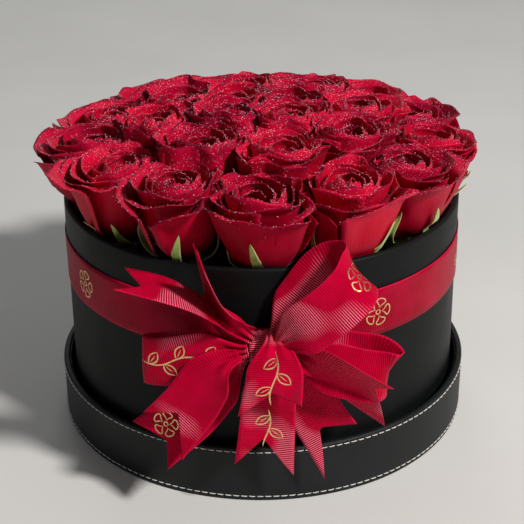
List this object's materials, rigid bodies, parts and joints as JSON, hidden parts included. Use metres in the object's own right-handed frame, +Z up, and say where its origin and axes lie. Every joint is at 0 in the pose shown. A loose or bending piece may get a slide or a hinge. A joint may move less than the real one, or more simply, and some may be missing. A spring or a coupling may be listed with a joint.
{
  "type": "flower box",
  "caption": "Round leatherette hat box of cut roses, with a ribbon band and a looped bow, standing in its own upturned lid.",
  "frame": {"origin": "centre of the lid's underside, where the box stands on a table", "axes": "+Z up along the axis of the drum and the lid; the bow faces -Y; +X is to the right as the bow is looked at"},
  "size_m": [0.2678, 0.2976, 0.208],
  "materials": {
    "black_leatherette": "satin",
    "greyboard": "matte",
    "lining_paper": "matte",
    "white_thread": "matte",
    "grey_thread": "matte",
    "red_ribbon": "satin",
    "pot_plastic": "satin",
    "wet_foam": "matte",
    "green_stem": "satin",
    "green_sepal": "satin",
    "rose_petal": "satin"
  },
  "bodies": {
    "lid": {"lid_panel_cover": "black_leatherette", "lid_panel_board": "greyboard", "lid_wall_board": "greyboard", "lid_side_cover": "black_leatherette", "lid_lining": "lining_paper", "lid_upper_stitches": "white_thread", "lid_lower_stitches": "white_thread", "lid_inner_stitches": "grey_thread"},
    "drum": {"drum_base_cover": "black_leatherette", "drum_base_board": "greyboard", "drum_wall_board": "greyboard", "drum_side_cover": "black_leatherette", "drum_lining": "lining_paper", "ribbon_band": "red_ribbon", "bow_knot": "red_ribbon", "bow_loop_upper": "red_ribbon", "bow_loop_right": "red_ribbon", "bow_loop_left": "red_ribbon", "bow_tail_high_left": "red_ribbon", "bow_tail_upright": "red_ribbon", "bow_tail_low_left": "red_ribbon", "bow_tail_low_left_under": "red_ribbon", "bow_tail_centre": "red_ribbon", "bow_tail_centre_under": "red_ribbon", "bow_tail_low_right": "red_ribbon", "bow_tail_right": "red_ribbon"},
    "insert": {"liner_pot": "pot_plastic", "floral_foam": "wet_foam", "rose_stems": "green_stem", "rose_calyxes": "green_sepal", "rose_01": "rose_petal", "rose_02": "rose_petal", "rose_03": "rose_petal", "rose_04": "rose_petal", "rose_05": "rose_petal", "rose_06": "rose_petal", "rose_07": "rose_petal", "rose_08": "rose_petal", "rose_09": "rose_petal", "rose_10": "rose_petal", "rose_11": "rose_petal", "rose_12": "rose_petal", "rose_13": "rose_petal", "rose_14": "rose_petal", "rose_15": "rose_petal", "rose_16": "rose_petal", "rose_17": "rose_petal", "rose_18": "rose_petal", "rose_19": "rose_petal", "rose_20": "rose_petal", "rose_21": "rose_petal", "rose_22": "rose_petal", "rose_23": "rose_petal", "rose_24": "rose_petal", "rose_25": "rose_petal"}
  },
  "joints": [
    {"name": "drum_lift", "type": "slide", "parent": "lid", "child": "drum", "axis": [0, 0, 1], "range_m": [0, 0.06]},
    {"name": "insert_lift", "type": "slide", "parent": "drum", "child": "insert", "axis": [0, 0, 1], "range_m": [0, 0.15]}
  ]
}
